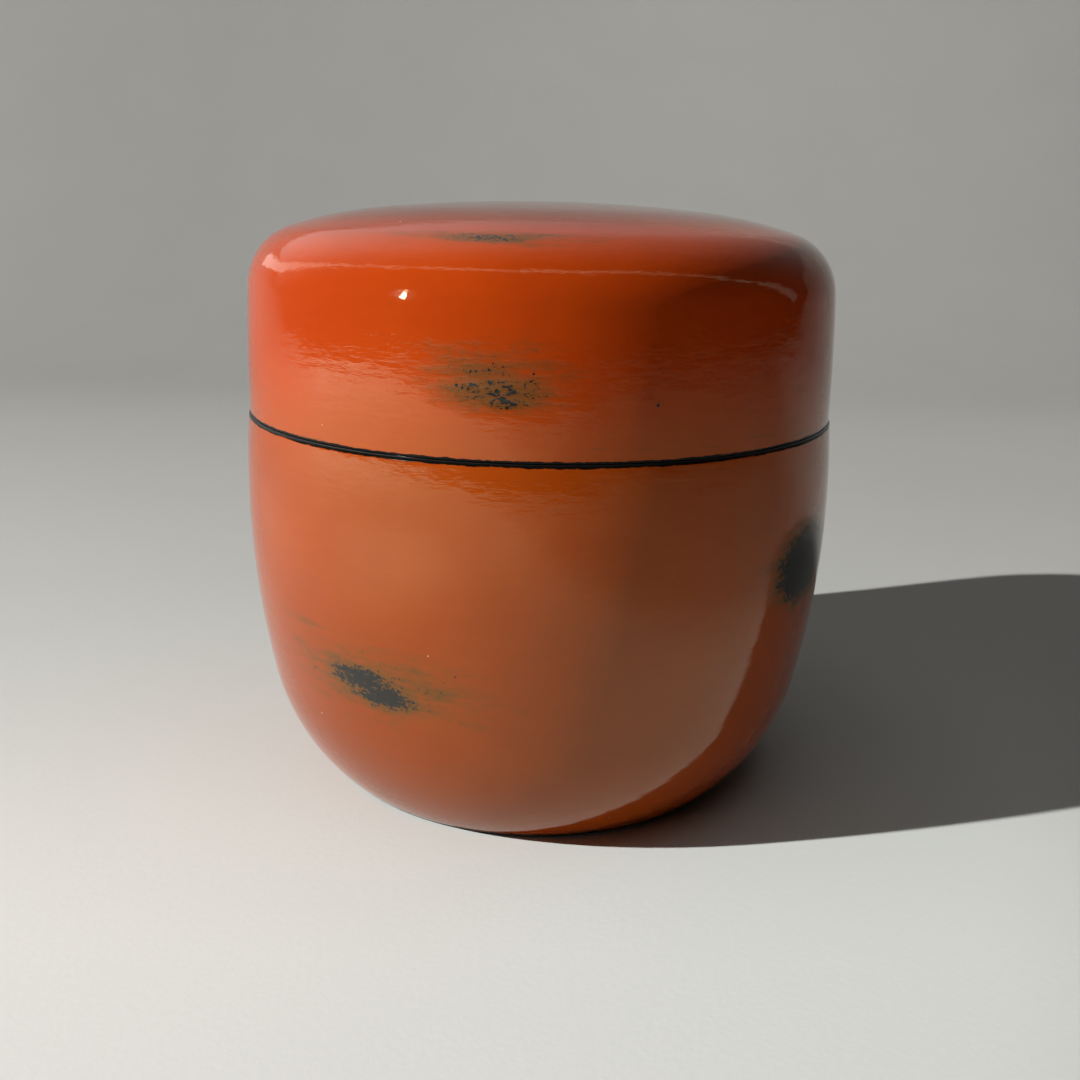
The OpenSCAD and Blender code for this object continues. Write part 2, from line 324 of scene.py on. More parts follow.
class Nodes:
    """Short calls for the nodes that the finishes and the room share"""

    def __init__(self, tree):
        self.tree = tree

    def node(self, kind, inputs=None, **settings):
        made = self.tree.nodes.new(kind)
        for key, value in settings.items():
            setattr(made, key, value)
        for key, value in (inputs or {}).items():
            self.put(made.inputs[key], value)
        return made

    def put(self, socket, value):
        if isinstance(value, bpy.types.NodeSocket):
            self.tree.links.new(value, socket)
        elif hasattr(value, "__len__") and len(value) == 3 and socket.type == "RGBA":
            socket.default_value = (*value, 1)
        else:
            socket.default_value = value

    def attribute(self, name, output="Fac"):
        return self.node("ShaderNodeAttribute", attribute_name=name).outputs[output]

    def vector_math(self, operation, a, b=None, output=0):
        inputs = {0: a} if b is None else {0: a, "Scale" if operation == "SCALE" else 1: b}
        return self.node("ShaderNodeVectorMath", inputs, operation=operation).outputs[output]

    def millimetres(self):
        """The object's own coordinates, in millimetres."""
        place = self.node("ShaderNodeTexCoord").outputs["Object"]
        return self.vector_math("SCALE", place, 1 / MM)

    def stretch(self, vector, x, y, z):
        return self.node("ShaderNodeMapping", {"Vector": vector, "Scale": (x, y, z)}).outputs[0]

    def noise(self, vector, size, detail=2, roughness=0.5):
        """Noise between 0 and 1 with features of the given size in millimetres."""
        return self.node("ShaderNodeTexNoise", {"Vector": vector, "Scale": 1 / size, "Detail": detail,
                                                "Roughness": roughness}).outputs["Fac"]

    def brushed(self, turned, across, size, detail, roughness):
        """Noise drawn out round the caddy, as a brush leaves it: across is below 1 for long strokes."""
        return self.noise(self.stretch(turned, across, across, 1), size, detail, roughness)

    def math(self, operation, a, b=0.0, c=0.0):
        made = self.node("ShaderNodeMath", operation=operation)
        for socket, value in zip(made.inputs, (a, b, c)):
            self.put(socket, value)
        return made.outputs[0]

    def sum(self, *terms):
        total = terms[0]
        for term in terms[1:]:
            total = self.math("ADD", total, term)
        return total

    def scaled(self, value, factor, middle=0.0):
        """(value - middle) * factor"""
        return self.math("MULTIPLY_ADD", value, factor, -middle * factor)

    def step(self, value, low, high, out_low=0.0, out_high=1.0, shape="SMOOTHSTEP"):
        """A smooth step between two values."""
        return self.node("ShaderNodeMapRange", {"Value": value, "From Min": low, "From Max": high,
                                                "To Min": out_low, "To Max": out_high},
                         interpolation_type=shape).outputs[0]

    def mix(self, factor, a, b):
        made = self.node("ShaderNodeMix", data_type="RGBA")
        for socket, value in ((made.inputs[0], factor), (made.inputs[6], a), (made.inputs[7], b)):
            self.put(socket, value)
        return made.outputs[2]

    def ramp(self, value, stops):
        """A soft curve through (place, value) stops."""
        low, high = stops[0][0], stops[-1][0]
        made = self.node("ShaderNodeValToRGB", {0: self.step(value, low, high, shape="LINEAR")})
        made.color_ramp.interpolation = "B_SPLINE"
        elements = made.color_ramp.elements
        elements[1].position = 1
        for place, _ in stops[1:-1]:
            elements.new((place - low) / (high - low))
        for element, (_, tone) in zip(sorted(elements, key=lambda e: e.position), stops):
            element.color = (tone, tone, tone, 1)
        return made.outputs[0]

    def tinted(self, tint, factor):
        """A colour, or a colour socket, made stronger or weaker by a factor."""
        return self.vector_math("SCALE", tint, factor)

    def bump(self, height, depth, under=None):
        """Bump of the given depth in millimetres."""
        inputs = {"Height": height, "Distance": depth * MM, "Strength": 1.0}
        if under is not None:
            inputs["Normal"] = under
        return self.node("ShaderNodeBump", inputs).outputs[0]


class Finish(Nodes):
    """A material made from nodes round one surface shader"""

    def __init__(self, name):
        self.material = bpy.data.materials.new(name)
        self.material.use_nodes = True
        super().__init__(self.material.node_tree)
        self.tree.nodes.clear()
        self.shader = self.node("ShaderNodeBsdfPrincipled")
        output = self.node("ShaderNodeOutputMaterial")
        self.tree.links.new(self.shader.outputs[0], output.inputs[0])

    def surface(self, **inputs):
        """Sets sockets of the surface shader."""
        for key, value in inputs.items():
            self.put(self.shader.inputs[key.replace("_", " ").title().replace("Ior", "IOR")], value)


RED_FINISH = "worn_vermilion_with_painted_shade"

# Small dark nicks: direction from the front in degrees, distance from the axis, height and radius in mm
DARK_MARKS = [
    (2.1, 32.30, 57.4, 0.24), (2.6, 32.32, 57.5, 0.18), (18.6, 32.75, 47.4, 0.20), (-8.9, 32.70, 52.6, 0.16),
    (-7.2, 32.72, 51.0, 0.15), (-1.0, 32.72, 50.2, 0.16), (-5.6, 32.74, 47.9, 0.30), (-6.6, 32.74, 48.6, 0.26),
    (-5.0, 32.74, 47.2, 0.20), (-12.9, 32.73, 49.0, 0.18), (-12.0, 32.73, 48.8, 0.16),
    (-15.2, 33.10, 20.6, 0.28), (-14.4, 33.05, 19.9, 0.22), (-16.5, 33.08, 20.3, 0.20),
    (-13.2, 33.10, 21.4, 0.2), (-13.8, 33.05, 19.3, 0.18),
]

# Painted light and shade on the red by height, in mm: darker toward the foot, brighter on the lid's side, darker on
# its crown
RED_PAINTED_LIGHT_TONES = [(0, 0.68), (9, 0.72), (16, 0.78), (26, 0.86), (38, 0.93), (43, 0.98), (47, 1.08), (56, 1.18),
             (60, 1.27), (62.3, 1.0), (63.3, 0.52), (64.8, 0.42)]

# The red turns browner from the lid down to the body: channel factors, and heights of the change in mm
BROWNER = (0.90, 1.28, 1.3)
BROWN_FROM, BROWN_FULL = 52, 40

# Near-black of the seam's groove, darker than the black lacquer: painted shade
SEAM_GROOVE_SHADE = (0.004, 0.003, 0.002)

# Tints of the gleam on sound red and on bare black
RED_GLEAM = (0.94, 0.99, 0.64)
BLACK_GLEAM = (1, 0.98, 0.93)

# Specks of dust: spacing in mm, and the smallest radius as a share of it
DUST_SPACING = 3.2
DUST_SIZE = 0.006


def dark_marks(f, place, grain):
    """Where the small nicks are, with ragged edges."""
    mark = 0.0
    for heading, radius, height, size in DARK_MARKS:
        a = math.radians(heading)
        spot = (radius * math.sin(a), -radius * math.cos(a), height)
        away = f.vector_math("DISTANCE", place, spot, output="Value")
        away = f.math("ADD", away, f.scaled(grain, 0.5 * size, 0.5))
        mark = f.math("MAXIMUM", mark, f.step(away, size, size * 0.7))
    return mark


def dust_specks(f, turned):
    """Where a few specks of dust lie: one cell in seven has one."""
    cell = f.node("ShaderNodeTexVoronoi", {"Vector": turned, "Scale": 1 / DUST_SPACING, "Randomness": 1})
    draw = f.node("ShaderNodeSeparateColor", {0: cell.outputs["Color"]})
    size = f.math("ADD", f.scaled(draw.outputs[1], 0.03), DUST_SIZE)
    speck = f.math("LESS_THAN", cell.outputs["Distance"], size)
    return f.math("MULTIPLY", speck, f.math("GREATER_THAN", draw.outputs[0], 0.86))


def red_lacquer(colours):
    """Glossy vermilion lacquer, rubbed through to the black where the wear attribute is high, with painted light and
    shade by height and in the seam's groove.
    """
    f = Finish(RED_FINISH)
    turned = f.attribute("turned", "Vector")
    wear = f.attribute("wear")
    lip = f.attribute("lip")
    place = f.millimetres()
    height = f.node("ShaderNodeSeparateXYZ", {0: place}).outputs["Z"]
    black, rubbed = tuple(colours.black), tuple(colours.rubbed)
    # The sound coat: thicker and thinner places, and painted light and shade by height
    fine = f.brushed(turned, 0.22, 0.9, 4, 0.6)
    thickness = f.sum(f.scaled(f.noise(turned, 16, 2), 1.1), f.scaled(fine, 0.35), -0.25)
    red = f.mix(f.step(thickness, 0.1, 0.9), tuple(colours.vermilion), tuple(colours.deep_vermilion))
    red = f.tinted(red, f.ramp(height, RED_PAINTED_LIGHT_TONES))
    red = f.mix(f.step(height, BROWN_FROM, BROWN_FULL), red, f.vector_math("MULTIPLY", red, BROWNER))
    # Worn places: a streaky thin zone, and in it flecks and cores of bare black
    streak = f.brushed(turned, 0.18, 0.75, 5, 0.65)
    grain = f.brushed(turned, 0.6, 0.42, 5, 0.7)
    flecks = f.brushed(turned, 0.7, 0.26, 3, 0.8)
    thin = f.step(f.sum(wear, f.scaled(streak, 0.9, 0.5), f.scaled(grain, 0.5, 0.5)), 0.18, 0.75)
    thin = f.math("MULTIPLY", thin, f.step(wear, 0.03, 0.22))
    bare = f.sum(wear, f.scaled(streak, 0.9, 0.5), f.scaled(grain, 1.6, 0.5), f.scaled(flecks, 1.4, 0.5))
    bare = f.step(bare, 0.80, 0.90)
    red = f.mix(f.math("MULTIPLY", thin, 0.82), red, rubbed)
    red = f.mix(bare, red, black)
    # The two edges at the seam are rubbed down to the black; the groove between them is painted darker than the
    # black, with less gleam, as painted shade; dark hairlines on the lid above them
    edge = f.math("ADD", lip, f.scaled(f.brushed(turned, 0.5, 0.6, 4, 0.7), 0.42, 0.5))
    seam = f.step(edge, 0.27, 0.33, 1, 0)
    red = f.mix(seam, red, SEAM_GROOVE_SHADE)
    hairline = f.step(f.brushed(turned, 0.05, 0.35, 2, 0.5), 0.63, 0.70)
    above = f.math("MULTIPLY", f.step(lip, 2.6, 1.2), f.step(height, 42, 42.5))
    red = f.mix(f.scaled(f.math("MULTIPLY", hairline, above), 0.45), red, rubbed)
    red = f.mix(dark_marks(f, place, grain), red, black)
    speck = dust_specks(f, turned)
    red = f.mix(speck, red, tuple(colours.dust))
    tint = f.mix(f.math("MAXIMUM", bare, seam), RED_GLEAM, BLACK_GLEAM)
    # Less gleam in the seam's groove: painted shade on its reflection
    gleam = f.sum(f.scaled(seam, -0.38), 0.5)
    f.surface(base_color=red, ior=LACQUER_IOR, specular_tint=tint, specular_ior_level=gleam)
    f.surface(roughness=f.sum(f.scaled(fine, 0.05), f.scaled(thin, 0.10), f.scaled(bare, 0.06), f.scaled(speck, 0.6),
                              f.scaled(seam, 0.12), 0.035))
    # Slow ripple, brush strokes, hairlines, torn edges of the wear, and the specks
    normal = f.bump(f.brushed(turned, 0.8, 1.9, 3, 0.55), 0.022)
    normal = f.bump(f.brushed(turned, 0.3, 0.8, 3, 0.6), 0.022, normal)
    normal = f.bump(f.brushed(turned, 0.12, 0.5, 4, 0.7), 0.0022, normal)
    normal = f.bump(f.math("MULTIPLY", grain, thin), -0.02, normal)
    f.surface(normal=f.bump(speck, 0.05, normal))
    return f.material


def shared_red(colours):
    """The one red finish that body and lid share."""
    return bpy.data.materials.get(RED_FINISH) or red_lacquer(colours)


def black_lining(name, base, roughness, scratch):
    """Black lacquer with faint turning lines."""
    f = Finish(name)
    turned = f.attribute("turned", "Vector")
    lines = f.brushed(turned, 0.15, 0.5, 4, 0.6)
    broad = f.noise(turned, 6, 3)
    f.surface(base_color=f.mix(broad, tuple(base), tuple(c * 1.7 for c in base)), ior=LACQUER_IOR)
    f.surface(roughness=f.sum(f.scaled(lines, scratch), f.scaled(broad, 0.05), roughness))
    f.surface(normal=f.bump(lines, 0.002, f.bump(f.noise(turned, 2.2, 2), 0.01)))
    return f.material


def hidden_finishes(colours):
    """Finishes of the layers that only a cut or a lifted lid would show."""
    wood = Finish("turned_wood_grain")
    place = wood.millimetres()
    growth = wood.node("ShaderNodeTexWave", {"Vector": wood.stretch(place, 1, 0.25, 0.25), "Scale": 0.55,
                                             "Distortion": 2.5, "Detail": 3, "Detail Scale": 0.6}).outputs["Fac"]
    pores = wood.noise(wood.stretch(place, 4, 0.35, 4), 1.2, 4, 0.6)
    dark = tuple(c * 0.55 for c in colours.wood)
    wood.surface(base_color=wood.mix(wood.sum(wood.scaled(growth, 0.55), wood.scaled(pores, 0.5), -0.1),
                                     tuple(colours.wood), dark))
    wood.surface(roughness=0.62, normal=wood.bump(pores, 0.05))
    cloth = Finish("hemp_cloth_weave")
    around = cloth.millimetres()
    warp = cloth.node("ShaderNodeTexWave", {"Vector": around, "Scale": 0.9, "Distortion": 0.6},
                      bands_direction="Z").outputs["Fac"]
    weft = cloth.node("ShaderNodeTexWave", {"Vector": around, "Scale": 0.9, "Distortion": 0.6},
                      bands_direction="DIAGONAL").outputs["Fac"]
    weave = cloth.math("MULTIPLY", warp, weft)
    cloth.surface(base_color=cloth.mix(weave, tuple(c * 0.5 for c in colours.cloth), tuple(colours.cloth)))
    cloth.surface(roughness=0.85, normal=cloth.bump(weave, 0.12))
    ground = Finish("ground_coat_grit")
    grit = ground.noise(ground.millimetres(), 0.35, 5, 0.7)
    ground.surface(base_color=ground.mix(grit, tuple(c * 0.7 for c in colours.ground), tuple(colours.ground)))
    ground.surface(roughness=0.8, normal=ground.bump(grit, 0.03))
    black = Finish("black_lacquer_under")
    soft = black.noise(black.millimetres(), 1.6, 3)
    black.surface(base_color=black.mix(soft, tuple(colours.black), tuple(c * 1.6 for c in colours.black)))
    black.surface(roughness=black.sum(black.scaled(soft, 0.1), 0.08), normal=black.bump(soft, 0.01))
    return {"core": wood.material, "cloth": cloth.material, "ground": ground.material, "black": black.material}


# ---- Pieces ----

# Worn patches: direction from the front in degrees, place along the outline in mm, half width and half
# height in mm, strength
BODY_PATCHES = [
    (-32.0, 20.5, 4.6, 1.9, 1.22),
    (-27.0, 19.2, 4.4, 1.7, 1.22),
    (-28.5, 20.4, 12.5, 4.4, 0.62),
    (-16.4, 20.6, 3.2, 1.3, 0.66),
    (-10.5, 17.6, 3.4, 0.6, 0.48),
    (-47.0, 25.0, 5.0, 0.6, 0.48),
    (57.5, 30.6, 5.6, 3.6, 2.0),
    (50.0, 31.0, 6.0, 2.6, 0.6),
]
LID_PATCHES = [
    (-6.5, 6.4, 5.6, 1.7, 0.92),
    (-7.5, 8.2, 7.0, 3.2, 0.62),
    (-5.4, 5.6, 2.6, 0.8, 1.05),
    (-10.2, 6.9, 1.6, 0.5, 0.95),
    (-9.2, 20.7, 6.5, 1.0, 0.85),
    (-8.0, 21.0, 13.0, 1.8, 0.52),
]


def lip_rounding(front, edge, radius):
    """Sets an outline in near its edge, as a coat rounds over its own lip."""
    near = np.clip(abs(front[:, 1] - edge), 0, radius)
    out = front.copy()
    out[:, 0] -= radius - np.sqrt(radius ** 2 - (radius - near) ** 2)
    return out


def red_skin(name, node, front, edge_z, lip_radius, patches, seed, body, sizes, finish):
    """One red skin with its waves, worn dips and rounded lip."""
    front = lip_rounding(front, edge_z, lip_radius)
    reach = front[:, 0].max()

    def relief(angle, along, outline):
        rise = waves(angle, along, reach, seed) * sizes.wave_height
        calm = np.clip(abs(outline[:, 1] - edge_z) / (1.5 * MM), 0, 1)
        worn = np.clip(patch_field(angle, along, patches), 0, 1)
        return rise * calm * np.clip(outline[:, 0] / (3 * MM), 0, 1) - worn ** 2 * sizes.worn_dip

    mesh, angle, along = turn(name, front, sizes.coat_depth, relief=relief)
    both = np.concatenate([along, along[::-1]])
    store(mesh, "wear", "FLOAT", patch_field(angle[:, None], both[None], patches))
    height = np.concatenate([front[:, 1], front[::-1, 1]])
    store(mesh, "lip", "FLOAT", np.broadcast_to(abs(height - edge_z) / MM, (len(angle), len(both))))
    return finish_mesh(mesh, body, finish, node, slot="red_lacquer")


def lip_steps(front, edge_z, fine=0.04 * MM, zone=0.7 * MM):
    """Adds closely spaced points near the lip, where the coat rounds over."""
    along = np.r_[0, np.hypot(*np.diff(front, axis=0).T).cumsum()]
    at_start = abs(front[0, 1] - edge_z) < abs(front[-1, 1] - edge_z)
    extra = np.arange(0, zone, fine)
    extra = extra if at_start else along[-1] - extra
    at = np.unique(np.round(np.r_[along, extra], 9))
    return np.c_[np.interp(at, along, front[:, 0]), np.interp(at, along, front[:, 1])]


def to_height(pair, height):
    """The point at which the line through two points reaches a height."""
    return pair[1] + (pair[1] - pair[0]) * (height - pair[1, 1]) / (pair[1, 1] - pair[0, 1])


class CADDY_OT_red_body(bpy.types.Operator):
    """Turns the body's red skin, from the foot to the lip at the seam"""

    bl_idname = "caddy.red_body"
    bl_label = "Red Body"

    def execute(self, context):
        scene = context.scene
        points = tidy(rings("body_red_coat", SEAM_Z, True), SEAM_Z, True)
        points = points[points[:, 1] < SEAM_Z - 0.05 * MM]
        points = np.vstack([points, to_height(points[-2:], SEAM_Z)])
        front = lip_steps(arc_outline(points, 5, middle_heading(points, 5)), SEAM_Z)
        red_skin("red_body_skin", "body_red_coat", front, SEAM_Z, scene.caddy_sizes.body_lip, BODY_PATCHES, 11,
                 "body", scene.caddy_sizes, shared_red(scene.caddy_colours))
        return {"FINISHED"}


class CADDY_OT_red_lid(bpy.types.Operator):
    """Turns the lid's red skin, from the lip at the seam over the shoulder to the crown"""

    bl_idname = "caddy.red_lid"
    bl_label = "Red Lid"

    def execute(self, context):
        scene = context.scene
        points = tidy(rings("lid_red_coat", SEAM_Z, True), SEAM_Z, True)
        points = points[(points[:, 1] > SEAM_Z + 0.05 * MM) & (points[:, 0] > 1 * MM)]
        points = np.vstack([to_height(points[1::-1], SEAM_Z), points, [0, TOP_Z]])
        front = lip_steps(arc_outline(points, len(points) - 1, math.pi), SEAM_Z)
        red_skin("red_lid_skin", "lid_red_coat", front, SEAM_Z, scene.caddy_sizes.lid_lip, LID_PATCHES, 23,
                 "lid", scene.caddy_sizes, shared_red(scene.caddy_colours))
        return {"FINISHED"}


class CADDY_OT_linings(bpy.types.Operator):
    """Turns the black linings: well, collar and ledge of the body, and the hollow of the lid"""

    bl_idname = "caddy.linings"
    bl_label = "Linings"

    def execute(self, context):
        sizes, colours = context.scene.caddy_sizes, context.scene.caddy_colours
        finish = black_lining("polished_black", colours.black, 0.07, 0.06)
        collar_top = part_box("body_lining_coat")[1].z
        inside = rings("body_lining_coat", SEAM_Z - 7 * MM, False)
        inside = tidy(inside[inside[:, 1] < SEAM_Z - 5 * MM], SEAM_Z - 7 * MM, False, 0.5 * MM)
        floor_z = inside[:, 1].min()
        well = arc_outline(inside, 0, 0, 0.5 * MM)
        mouth_r = inside[:, 0].max()
        every = rings("body_lining_coat", SEAM_Z - 7 * MM, True)
        upper = every[every[:, 1] > SEAM_Z + 0.3 * MM]
        collar_r = upper[:, 0].max()
        lead = collar_r - upper[upper[:, 1] > collar_top - 0.02 * MM][:, 0].max()
        ledge_r = every[:, 0].max()
        corners = np.array([[mouth_r, collar_top - 2 * MM], [mouth_r, collar_top], [collar_r - lead, collar_top],
                            [collar_r, collar_top - lead], [collar_r, SEAM_Z], [ledge_r, SEAM_Z]])
        front = np.vstack([[0, floor_z], [well[0, 0] * 0.5, floor_z], well,
                           round_corners(corners, sizes.lining_edge)])
        front = front[::-1]
        mesh, _, _ = turn("body_lining_skin", front, sizes.lining_depth, steps=360)
        finish_mesh(mesh, "body", finish, "body_lining_coat", slot="black_lining")
        hollow = rings("lid_lining_coat", SEAM_Z, False)
        bore_r = hollow[:, 0].max()
        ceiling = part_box("lid_lining_coat")[1].z - sizes.lining_depth
        hollow = tidy(hollow[hollow[:, 1] > SEAM_Z + 3 * MM], SEAM_Z, False)
        curve = arc_outline(np.vstack([hollow, [0, ceiling]]), 0, math.pi / 2, 0.5 * MM)
        edge_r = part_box("lid_lining_coat")[1].x
        corners = np.array([[edge_r, SEAM_Z], [bore_r, SEAM_Z], [bore_r, SEAM_Z + 2 * MM]])
        front = np.vstack([round_corners(corners, sizes.lining_edge), curve])
        mesh, _, _ = turn("lid_lining_skin", front[::-1], sizes.lining_depth, steps=360)
        finish_mesh(mesh, "lid", finish, "lid_lining_coat", slot="black_lining")
        return {"FINISHED"}


class CADDY_OT_foot(bpy.types.Operator):
    """Turns the black lacquer under the foot, with its ring and shallow recess"""

    bl_idname = "caddy.foot"
    bl_label = "Foot"

    def execute(self, context):
        sizes, colours = context.scene.caddy_sizes, context.scene.caddy_colours
        below = rings("foot_coat", 5 * MM, True)
        side = below[below[:, 0] > 1 * MM]
        ring = side[side[:, 1] < 0.05 * MM]
        recess_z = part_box("body_core")[0].z
        top = side[np.argmax(side[:, 1] * (side[:, 0] > ring[:, 0].mean()))]
        inner_r, foot_r = ring[:, 0].min(), ring[:, 0].max()
        ceiling = side[side[:, 0] <= inner_r + 0.01 * MM][:, 1].max()
        corners = np.array([[0, ceiling], [inner_r * 0.5, ceiling], [inner_r, ceiling], [inner_r, 0], [foot_r, 0],
                            [top[0], recess_z]])
        front = round_corners(corners, 0.3 * MM)
        finish = black_lining("satin_black", colours.foot_black, 0.28, 0.2)
        mesh, _, _ = turn("foot_skin", front, sizes.lining_depth, steps=360)
        finish_mesh(mesh, "body", finish, "foot_coat", slot="foot_lacquer")
        return {"FINISHED"}


class CADDY_OT_hidden_layers(bpy.types.Operator):
    """Gives the wood, cloth, ground and black layers their finishes"""

    bl_idname = "caddy.hidden_layers"
    bl_label = "Hidden Layers"

    def execute(self, context):
        finishes = hidden_finishes(context.scene.caddy_colours)
        for name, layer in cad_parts.items():
            for word, finish in finishes.items():
                if word in name:
                    layer.data.materials.clear()
                    layer.data.materials.append(finish)
        return {"FINISHED"}


# ---- Studio ----

# Where the table ends, in metres: its left edge, and its front edge by how far to the right, up to each limit
TABLE_LEFT = -0.64
TABLE_FRONT = [(-0.17, -0.46), (0.19, -0.39), (math.inf, -0.80)]
TABLE_BACK = 0.12

# The paper in metres: its front edge, spacing of rows, where it starts to bend up, radius of the bend, straight
# part above it, half width
PAPER_FRONT, PAPER_STEP, BEND_START, BEND, PAPER_RISE, PAPER_HALF = -0.80, 0.01, 0.27, 0.28, 0.08, 1.0


def on_table(x, y):
    """Whether the table reaches this far: it ends sooner on the left and in front of the camera."""
    if y > TABLE_BACK:
        return True
    front = next(edge for limit, edge in TABLE_FRONT if x < limit)
    return x >= TABLE_LEFT and y > front


def paper_sheet(name, rows, half_width, finish):
    """A sheet swept along rows of (y, z) from front to back, as far as the table reaches."""
    across = 200
    wide = 2 * half_width / across
    verts = [(-half_width + 2 * half_width * i / across, y, z) for y, z in rows for i in range(across + 1)]
    faces = []
    for row in range(len(rows) - 1):
        for i in range(across):
            a = row * (across + 1) + i
            if on_table(verts[a][0] + wide / 2, (rows[row][0] + rows[row + 1][0]) / 2):
                faces.append((a, a + 1, a + across + 2, a + across + 1))
    mesh = bpy.data.meshes.new(name)
    mesh.from_pydata(verts, [], faces)
    mesh.shade_smooth()
    mesh.materials.append(finish)
    sheet = bpy.data.objects.new(name, mesh)
    bpy.context.scene.collection.objects.link(sheet)
    return sheet


# Painted light on the paper: how bright it is painted at some places from front to back, in mm
PAPER_PAINTED_LIGHT = [(-160, 1.22), (-60, 1.06), (-25, 0.93), (0, 0.80), (30, 0.72), (60, 0.67), (120, 0.63), (220, 0.60),
               (300, 0.52), (560, 0.47)]


# Middle of the painted pool of light, a glow of the paper beside the caddy, in mm
PAINTED_POOL_MIDDLE = (-112, -98, 0)


def paper_finish(studio):
    """Pale matt paper with painted light: evened out against the near key light, painted shade on the right, and a
    painted glow for light outside the camera's view.
    """
    f = Finish("stage_paper_painted_light")
    place = f.millimetres()
    split = f.node("ShaderNodeSeparateXYZ", {0: place})
    x, y = split.outputs["X"], split.outputs["Y"]
    fibre = f.noise(place, 0.7, 5, 0.6)
    tone = f.sum(f.ramp(y, PAPER_PAINTED_LIGHT), f.scaled(fibre, 0.05, 0.5), f.scaled(f.noise(place, 40, 3), 0.03, 0.5))
    # The key light stands near on the left: painted light brightens the paper where it loses light to the right and
    # to the back
    evened = f.math("MULTIPLY", f.step(x, -260, 330), f.step(y, -150, 300, 0.16, 0.75))
    tone = f.math("MULTIPLY", tone, f.sum(evened, f.step(y, -40, 200, 0.93, 0.80)))
    # Outside the camera's view painted shade darkens the paper on the right and a painted glow pools on the left; the
    # view widens to the back
    fan = f.scaled(y, -0.5)
    shade = f.math("MULTIPLY", f.step(f.sum(x, fan), 60, 120), f.step(y, 120, 0))
    tone = f.math("MULTIPLY", tone, f.math("SUBTRACT", 1.0, f.scaled(shade, 0.5)))
    # A little less red close to the caddy: painted to cancel the red light that it throws on the paper
    near = f.step(f.vector_math("LENGTH", place, output="Value"), 120, 35)
    base = f.tinted(tuple(studio.paper), tone)
    base = f.vector_math("MULTIPLY", base, f.mix(near, (1, 1, 1), (0.96, 1, 1)))
    f.surface(base_color=base, roughness=0.9, specular_ior_level=0.2, normal=f.bump(fibre, 0.02))
    # The paper glows on the left: a painted pool of light
    pool = f.math("MULTIPLY", f.step(f.math("SUBTRACT", fan, x), 74, 110), f.step(y, 120, 40))
    middle = f.step(f.vector_math("DISTANCE", place, PAINTED_POOL_MIDDLE, output="Value"), 75, 25, 0, 0.5)
    f.surface(emission_color=tuple(studio.paper), emission_strength=f.math("MULTIPLY", pool, f.sum(middle, 0.16)))
    return f.material


def glow_finish():
    """A plain glow, as strong as the mesh says."""
    f = Finish("band_glow")
    f.surface(base_color=(0, 0, 0), roughness=1.0)
    f.surface(emission_color=(1, 0.98, 0.94), emission_strength=f.attribute("glow"))
    return f.material


# Brightness of the room by how far a direction points up and back, and its fall from left to right
ROOM_TONES = [(-1.5, 0.02), (0.3, 0.025), (0.5, 0.04), (0.7, 0.10), (0.9, 0.20), (1.05, 0.32), (1.2, 0.45),
              (1.5, 0.42)]
ROOM_FALL = 0.22

# The light band: heading from the front and height of its middle, half width, all in degrees, and brightness
BAND_REACH = 0.75
BAND = [
    (-140, 13, 2.0, 1.0), (-136, 17, 3.0, 1.4), (-126, 19, 3.2, 1.5), (-118, 20.5, 3.5, 1.5),
    (-114, 24.4, 3.2, 1.4), (-105, 30.4, 2.2, 1.4), (-97, 35.7, 1.4, 1.5), (-87, 40.5, 1.0, 1.5),
    (-67, 48.0, 0.9, 1.6), (-43, 53.5, 0.9, 1.6), (-22, 56.3, 1.0, 1.6), (-1, 57.4, 1.0, 1.5),
    (20, 56.1, 0.9, 1.2), (41, 53.9, 0.8, 1.0), (58, 48.5, 0.8, 0.7), (75, 38.5, 0.8, 0.6),
    (87, 29.2, 1.0, 0.5), (97, 21.0, 2.0, 0.25), (103, 13.0, 3.0, 0.22), (106, 6.0, 2.0, 0.2),
]

# Lamps: place or direction and distance in metres, size in metres, power in watts
KEY_SIZE = 0.015
SPARK_WAY, SPARK_DISTANCE, SPARK_SIZE, SPARK_POWER = Vector((-0.735, -0.617, 0.283)), 0.75, (0.034, 0.11), 0.8
FILL_PLACE, FILL_SIZE, FILL_POWER = Vector((0, -0.1, 0.9)), (0.8, 0.6), 0.8


def compass(heading, height):
    """The direction at a heading from the front, toward the right, and a height above the horizon, in degrees."""
    a, e = math.radians(heading), math.radians(height)
    return Vector((math.sin(a) * math.cos(e), -math.cos(a) * math.cos(e), math.sin(e)))


